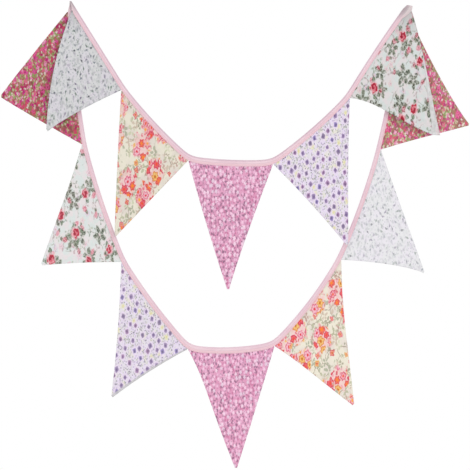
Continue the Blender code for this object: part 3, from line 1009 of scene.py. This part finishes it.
def pink_print(n, place):
    streaks = n.mapped(place, (0.35, 1.0))
    ground = n.mix(n.patches(streaks, 12.0, 0.38, 0.62), tint(231, 168, 200), tint(224, 156, 190))
    mark, chance = n.scatter(place, pitch=4.7, spread=0.9, shift=3.9, vary=0.4)
    hue = n.hue(chance, (150, 108, 134), (182, 126, 156), (204, 152, 182), (206, 122, 162),
                (148, 108, 136))
    colour = n.spot(ground, mark, (3.0, 4.2), hue, 0.9)
    bloom, chance = n.scatter(place, pitch=7.7, spread=0.75, shift=8.4, vary=0.3)
    outer = n.hue(chance, (234, 178, 208), (240, 194, 218), (230, 168, 202), (230, 190, 214),
                  (236, 184, 212))
    inner = n.hue(chance, (255, 211, 235), (252, 222, 240), (246, 196, 224), (240, 214, 232),
                  (254, 213, 236))
    colours = (outer, inner, tint(236, 178, 206))
    colour = n.flower(colour, bloom, 6.7, 5, colours, notch=0.12, core=0.1)
    leaf, chance = n.scatter(place, pitch=9.0, spread=0.9, shift=1.2, vary=0.4)
    shown = n.times(n.chosen(chance, 0.6), 0.6)
    return n.spray(colour, leaf, 2, (3.2, 1.6), tint(166, 114, 144), shown, start=0.1)


def lilac_print(n, place):
    ground = n.mix(n.patches(place, 9.0, 0.4, 0.6), tint(233, 221, 242), tint(229, 224, 231))
    ground = n.mix(n.patches(place, 14.0, 0.55, 0.68, most=0.6), ground, tint(236, 234, 212))
    dot, chance = n.scatter(place, pitch=3.9, spread=0.95, shift=2.7, vary=0.5)
    hue = n.hue(chance, (132, 140, 134), (180, 160, 198), (186, 188, 162), (124, 114, 134),
                (240, 234, 248))
    colour = n.spot(ground, dot, (1.8, 2.9), hue, n.span(chance[2], 0.0, 1.0, 0.45, 1.0))
    leaf, chance = n.scatter(place, pitch=10.5, spread=0.9, shift=6.1, vary=0.4)
    hue = n.hue(chance, (126, 132, 130), (120, 106, 140), (144, 152, 134))
    shown = n.times(n.chosen(chance, 0.6), 0.6)
    colour = n.spray(colour, leaf, 3, (3.0, 1.7), hue, shown, start=0.05)
    gold, _ = n.scatter(place, pitch=26.0, spread=0.7, shift=4.8, vary=0.3)
    colours = (tint(236, 235, 206), tint(236, 231, 184), tint(229, 214, 150))
    colour = n.flower(colour, gold, 10.0, 5, colours, 0.9)

    bloom, chance = n.scatter(place, pitch=16.6, spread=0.62, shift=9.9, vary=0.3)
    colour = n.spot(colour, bloom, (12.0, 12.0), tint(238, 222, 244), 0.75)
    outer = n.hue(chance, (172, 152, 192), (178, 158, 196), (164, 148, 176), (188, 156, 192),
                  (166, 150, 202))
    inner = n.hue(chance, (146, 126, 168), (154, 132, 172), (138, 124, 154), (162, 124, 168),
                  (140, 126, 182))
    heart = n.hue(chance, (118, 100, 142), (126, 106, 148), (112, 100, 128))
    colour = n.flower(colour, bloom, 8.0, 4, (outer, inner, inner), notch=0.1, core=0.25)
    return n.spot(colour, bloom, (2.8, 3.4), heart, 0.8, (0.7, 0.4), blur=0.35)


def rose_print(n, place):
    ground = n.mix(n.patches(place, 13.0, 0.38, 0.62), tint(216, 223, 221), tint(227, 220, 221))
    ragged = n.ragged(place, 3.6, 4.2)
    painted = n.patches(place, 2.6, 0.38, 0.62, detail=3.0)
    broken = n.patches(place, 4.6, 0.34, 0.47, detail=3.0, least=0.35)
    stem = n.times(n.lines(ragged, 27.0, 1.3, 1.9), n.patches(place, 24.0, 0.48, 0.56))
    colour = n.mix(n.times(stem, broken, 0.6), ground, tint(158, 156, 144))
    blossom, chance = n.scatter(ragged, pitch=21.0, spread=0.9, shift=3.1, vary=0.5)
    hue = n.hue(chance, (230, 188, 203), (210, 196, 216), (226, 200, 196))
    colours = (hue, tint(236, 214, 221), tint(208, 156, 172))
    colour = n.flower(colour, blossom, 9.6, 5, colours, n.times(n.chosen(chance, 0.55), 0.75))
    sprig, chance = n.scatter(ragged, pitch=15.5, spread=0.95, shift=7.4, vary=0.5)
    hue = n.hue(chance, (154, 166, 148), (132, 144, 128), (178, 162, 162), (178, 188, 170),
                (190, 164, 168))
    shown = n.times(n.chosen(chance, 0.6), broken, 0.75)
    colour = n.spray(colour, sprig, 3, (5.6, 2.4), hue, shown, start=0.1)

    leaf, chance = n.scatter(ragged, pitch=36.0, spread=0.8, shift=6.3, vary=0.3)
    shown = n.times(n.chosen(chance, 0.8), broken)
    colour = n.spray(colour, leaf, 5, (14.5, 8.4), tint(204, 207, 196), n.times(shown, 0.6),
                     start=0.05)
    hue = n.hue(chance, (72, 82, 70), (92, 100, 82), (72, 70, 62), (100, 102, 86))
    hue = n.mix(painted, hue, tint(150, 155, 140))
    colour = n.spray(colour, leaf, 5, (13.4, 6.0), hue, shown, start=0.14)

    bud, chance = n.scatter(ragged, pitch=27.0, spread=0.85, shift=8.2, vary=0.5)
    shown = n.chosen(chance, 0.6)
    green = n.mix(painted, tint(96, 94, 80), tint(150, 152, 134))
    colour = n.spot(colour, bud, (6.0, 4.4), green, n.times(shown, broken), (-4.2, 0.0))
    hue = n.hue(chance, (178, 44, 66), (204, 100, 124), (152, 40, 60), (212, 136, 152))
    hue = n.mix(painted, hue, tint(232, 172, 182))
    colour = n.spot(colour, bud, (8.4, 6.4), hue, n.times(shown, 0.9), (1.4, 0.0))

    bloom, chance = n.scatter(ragged, pitch=47.0, spread=0.6, shift=2.5, vary=0.3)
    shown = n.chosen(chance, 0.85)
    green = n.mix(painted, tint(70, 88, 70), tint(148, 162, 138))
    colour = n.spray(colour, bloom, 4, (14.5, 6.4), green, n.times(shown, broken), start=0.3)
    radius, angle = n.polar(bloom)
    swirl = n.math("MULTIPLY_ADD", n.noise(place, 6.0)[0], 6.0, n.times(radius, 0.9))
    whorl = n.math("SINE", n.math("ADD", swirl, angle))
    petal = n.mix(n.span(whorl, -0.3, 0.7), tint(200, 46, 72), tint(235, 180, 187))
    centre = n.mix(n.span(whorl, -0.5, 0.6), tint(156, 30, 52), tint(226, 112, 128))
    halo = n.times(shown, 0.55)
    colour = n.spot(colour, bloom, (18.0, 18.0), tint(236, 204, 210), halo, blur=0.16)
    colours = (petal, centre, tint(178, 44, 66))
    return n.flower(colour, bloom, 15.5, 5, colours, shown, notch=0.1, core=0.12)


def magenta_print(n, place):
    patches = n.patches(place, 5.0, 0.42, 0.58, detail=3.0)
    ground = n.mix(patches, tint(166, 112, 92), tint(174, 82, 98))
    leaf, chance = n.scatter(place, pitch=5.8, spread=0.95, shift=5.7, vary=0.5)
    hue = n.hue(chance, (168, 150, 108), (150, 128, 92), (140, 168, 96), (198, 182, 142),
                (172, 122, 104), (136, 92, 78), (158, 176, 118))
    colour = n.spray(ground, leaf, 3, (4.6, 2.6), hue, start=0.0)
    bloom, chance = n.scatter(place, pitch=7.9, spread=0.95, shift=3.6, vary=0.6)
    outer = n.hue(chance, (212, 66, 142), (206, 60, 102), (224, 110, 162), (198, 52, 114),
                  (216, 84, 122), (216, 68, 146))
    inner = n.hue(chance, (226, 102, 164), (218, 84, 112), (234, 162, 192), (176, 44, 96),
                  (230, 128, 150), (192, 52, 122))
    colours = (outer, inner, tint(152, 50, 92))
    colour = n.flower(colour, bloom, 7.4, 4, colours, n.chosen(chance, 0.92), notch=0.22,
                      core=0.14)
    large, chance = n.scatter(place, pitch=21.0, spread=0.8, shift=1.1, vary=0.5)
    outer = n.hue(chance, (222, 66, 134), (214, 62, 104), (226, 84, 150))
    colours = (outer, tint(232, 112, 160), tint(176, 54, 100))
    colour = n.flower(colour, large, 10.5, 5, colours, n.times(n.chosen(chance, 0.75), 0.9))
    pale, chance = n.scatter(place, pitch=6.0, spread=0.95, shift=7.3, vary=0.5)
    hue = n.hue(chance, (228, 208, 204), (214, 202, 178), (234, 178, 200), (188, 196, 150),
                (160, 62, 92), (224, 224, 206))
    return n.spot(colour, pale, (2.4, 3.8), hue, n.times(n.chosen(chance, 0.7), 0.85))


PRINTS = {"grey": grey_print, "cream": cream_print, "pink": pink_print, "lilac": lilac_print,
          "rose": rose_print, "magenta": magenta_print}


def print_place(n, flag):
    """Print coordinates in millimetres, in the axes of the flag before it was cut."""
    hung_x, hung_z = flag["middle"]
    lean = math.atan2(flag["tip_z"] - hung_z, (flag["tip_x"] - hung_x) * PRINT_STRETCH)
    return n.mapped(n.front_place(), (PRINT_STRETCH / MM, 1.0 / MM),
                    (flag["cut_x"], flag["cut_y"]), -math.pi / 2 - lean)


def weave(n, place):
    """The height of a plain weave, from 0 to 1, and the unevenness of its threads."""
    waves = [n.math("SINE", part) for part in n.parts(n.scaled(place, TURN / THREAD_PITCH))[:2]]
    height = n.math("MULTIPLY_ADD", n.times(*waves), 0.5, 0.5)
    along = (1.0 / SLUB_LENGTH, 1.0 / SLUB_WIDTH)
    slubs = [n.noise(n.mapped(place, scale), 1.0, 1.0)[0] for scale in (along, along[::-1])]
    return height, n.times(n.math("ADD", *slubs), 0.5)


def finish_cloth(n, place, colour, bump_strength):
    """Weave, slubs, roughness and sheen over a cloth's colour."""
    height, slub = weave(n, place)
    uneven = n.math("MULTIPLY_ADD", slub, SLUB_SHADE, 1.0 - (WEAVE_SHADE + SLUB_SHADE) / 2)
    shade = n.math("MULTIPLY_ADD", height, WEAVE_SHADE, uneven)
    relief = n.math("MULTIPLY_ADD", slub, SLUB_RELIEF, height)
    bump = n.put("Bump", {"Strength": bump_strength, "Distance": WEAVE_DEPTH * MM,
                          "Height": relief})
    n.surface({"Base Color": n.scaled(colour, shade), "Normal": bump.outputs[0],
               "Roughness": n.span(slub, 0.3, 0.7, *CLOTH_ROUGHNESS),
               "Specular IOR Level": 0.25, "Sheen Weight": 0.12, "Sheen Roughness": 0.5})


def new_material(name):
    material = bpy.data.materials.new(name)
    material.use_nodes = True
    return material, Nodes(material.node_tree)


def flag_material(flag):
    material, n = new_material(flag["name"] + "_cotton")
    place = print_place(n, flag)
    colour = PRINTS[flag["fabric"]](n, n.ragged(place, 5.0, 1.6, detail=1.0))
    # Each flag's colour is scaled and paled: partly the cloth's own tone, partly painted light, a
    # flag lighter or darker for how the light falls on it.
    colour = n.mix(flag["paling_and_painted_light"], n.scaled(colour, flag["tone_and_painted_light"]), tint(*PALE_TONE_AND_LIGHT))
    turned = n.mark("turned")
    strip = dict(zip(TURNED_COLUMNS, TURNED.get(flag["name"], NOT_TURNED)))
    # The strip is the cloth's plain back; on the lilac flag its darker grey is painted shade.
    plain = tint(strip["grey"], strip["grey"] - 1, strip["grey"])
    colour = n.mix(n.times(n.span(turned, -0.3, 0.3), 0.8), colour, plain)
    # A painted shadow line along the strip's border crease.
    colour = n.scaled(colour, n.span(n.math("ABSOLUTE", turned), 0.0, 1.4, strip["line"], 1.0))
    # Darker near the hanging points.
    colour = n.scaled(colour, n.math("MULTIPLY_ADD", n.mark("apex"), -APEX_SHADE, 1.0))
    edge = n.mark("edge")
    # Painted shade at the free edges.
    colour = n.scaled(colour, n.span(edge, 0.0, EDGE_SHADE_REACH, EDGE_SHADE, 1.0))
    # Painted shade along the pressed ridge where the seam allowance ends.
    ridge = n.math("ABSOLUTE", n.math("SUBTRACT", edge, SEAM_ALLOWANCE))
    finish_cloth(n, place, n.scaled(colour, n.span(ridge, 0.0, 1.0, RIDGE_SHADE, 1.0)), 0.35)
    return material


def tape_material():
    material, n = new_material("binding_tape_cotton")
    place = n.mapped(n.front_place(), (1.0 / MM, 1.0 / MM), turn=math.radians(45))
    colour = n.mix(n.patches(place, 30.0, 0.35, 0.65), tint(240, 212, 221), tint(235, 204, 215))
    band = n.mark("band")
    warm = n.times(n.fall(band, TAPE_HEM_SHARE - 0.1, TAPE_HEM_SHARE), 0.8)
    colour = n.mix(warm, colour, tint(240, 202, 211))
    # Painted shade along the tape's folded edge, stronger on the front swag.
    painted_fold_shade = n.math("MULTIPLY_ADD", n.mark("front"), 0.22, 0.20)
    colour = n.mix(n.times(n.span(band, 0.88, 1.0), painted_fold_shade), colour, tint(186, 160, 176))
    # Painted shade on the tape near the hanging points.
    painted_hanging_shade = n.mix(n.span(band, 0.4, 0.8), tint(214, 207, 206), tint(172, 160, 164))
    colour = n.mix(n.times(n.mark("apex"), 0.85), colour, painted_hanging_shade)
    hem = n.math("ABSOLUTE", n.math("SUBTRACT", band, TAPE_HEM_SHARE))
    finish_cloth(n, place, n.scaled(colour, n.span(hem, 0.0, 0.09, 0.86, 1.0)), 0.4)
    return material


def thread_material():
    material, n = new_material("tape_thread")
    inputs = {"Vector": n.scaled(n.object_place(), 1.0 / MM), "Scale": 2.4, "Distortion": 0.6}
    twist = n.put("TexWave", inputs, bands_direction="DIAGONAL").outputs[1]
    bump = n.put("Bump", {"Strength": 0.4, "Distance": 0.05 * MM, "Height": twist})
    n.surface({"Base Color": n.mix(twist, tint(214, 176, 188), tint(238, 212, 220)),
               "Roughness": 0.6, "Normal": bump.outputs[0], "Sheen Weight": 0.1})
    return material


# The pieces


def make_flag(flag, hung):
    hang = dict(zip(HANG_COLUMNS, HANGS[flag["name"]]))
    middle = flag_middle(flag, hang, hung)
    normals = surface_normals(middle)
    outward = np.sign(normals[..., 1]) * hung["side"]
    middle = middle + normals * (flag_relief(middle, flag) * outward)[..., None]
    half, near = flag_half(middle)
    marks = {"edge": near, "apex": near_hanging_point(middle, FLAG_APEX_REACH),
             "turned": turned_strip(middle, flag)}
    obj = thin_cloth(flag["name"] + "_cloth", middle, half, marks)
    base = middle[1, middle.shape[1] // 2]
    obj.data.materials.append(flag_material({**flag, **hang, "middle": (base[0], base[2])}))
    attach(obj, "root")
    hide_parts(flag["name"])


def make_tape(swags):
    middle, half, marks, run = tape_middle(tape_stations(swags))
    tape = thin_cloth("binding_tape_cloth", middle, half, marks)
    tape.data.materials.append(tape_material())
    stitches = stitching(middle, half)
    stitches.data.materials.append(thread_material())
    for piece in (tape, stitches):
        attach(piece, "root")
    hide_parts("binding_tape")


# Floor, light and camera

def make_stage(low):
    floor_z = low.z - FLOOR_DROP * MM
    centre, half = VIEW_MIDDLE[0] * MM, FLOOR_SIZE / 2
    corners = [(centre + half * side, half * depth, floor_z)
               for side, depth in ((-1, -1), (1, -1), (1, 1), (-1, 1))]
    mesh = bpy.data.meshes.new("floor")
    mesh.from_pydata(corners, [], [range(len(corners))])
    floor = added("floor", mesh)
    material, n = new_material("pale_floor")
    grain = n.noise(n.object_place(), FLOOR_GRAIN, 3.0)[0]
    n.surface({"Base Color": n.mix(grain, tint(232, 231, 229), tint(238, 237, 235)),
               "Roughness": 0.8})
    floor.data.materials.append(material)


def make_light():
    world = bpy.data.worlds.new("studio")
    bpy.context.scene.world = world
    world.use_nodes = True
    n = Nodes(world.node_tree)
    behind = n.parts(n.put("TexCoord", {}).outputs["Generated"])[1]
    strength = n.span(behind, -0.5, 0.0, SKY_IN_FRONT, SKY_BEHIND)
    white = n.put("Background", {"Color": (1.0, 1.0, 1.0, 1.0), "Strength": strength})
    n.put("OutputWorld", {0: white.outputs[0]})

    target = Vector((VIEW_MIDDLE[0] * MM, 0.0, VIEW_MIDDLE[1] * MM))
    for lamp in rows(LAMP_COLUMNS, LAMPS):
        offset = Vector(lamp["offset"])
        light = bpy.data.lights.new(lamp["name"], "AREA")
        light.size = lamp["size"]
        light.energy = lamp["power"]
        obj = added(lamp["name"], light)
        obj.location = target + offset
        obj.rotation_mode = "QUATERNION"
        obj.rotation_quaternion = (-offset).to_track_quat("-Z", "Y")


def make_camera():
    data = bpy.data.cameras.new("camera")
    data.sensor_width = SENSOR
    data.lens = SENSOR * VIEW_DISTANCE / VIEW_WIDTH
    data.clip_end = VIEW_LIMIT
    camera = added("camera", data)
    camera.location = (VIEW_MIDDLE[0] * MM, -VIEW_DISTANCE * MM, VIEW_MIDDLE[1] * MM)
    camera.rotation_euler = (math.pi / 2, 0.0, 0.0)
    bpy.context.scene.camera = camera
    bpy.context.scene.view_settings.view_transform = "Standard"


make_camera()
make_light()
make_stage(CAD_BOX[0])
swags = {swag["name"]: hang_swag(swag) for swag in rows(SWAG_COLUMNS, SWAGS)}
make_tape(swags)
for flag in rows(FLAG_COLUMNS, FLAGS):
    make_flag(flag, swags[flag["swag"]])
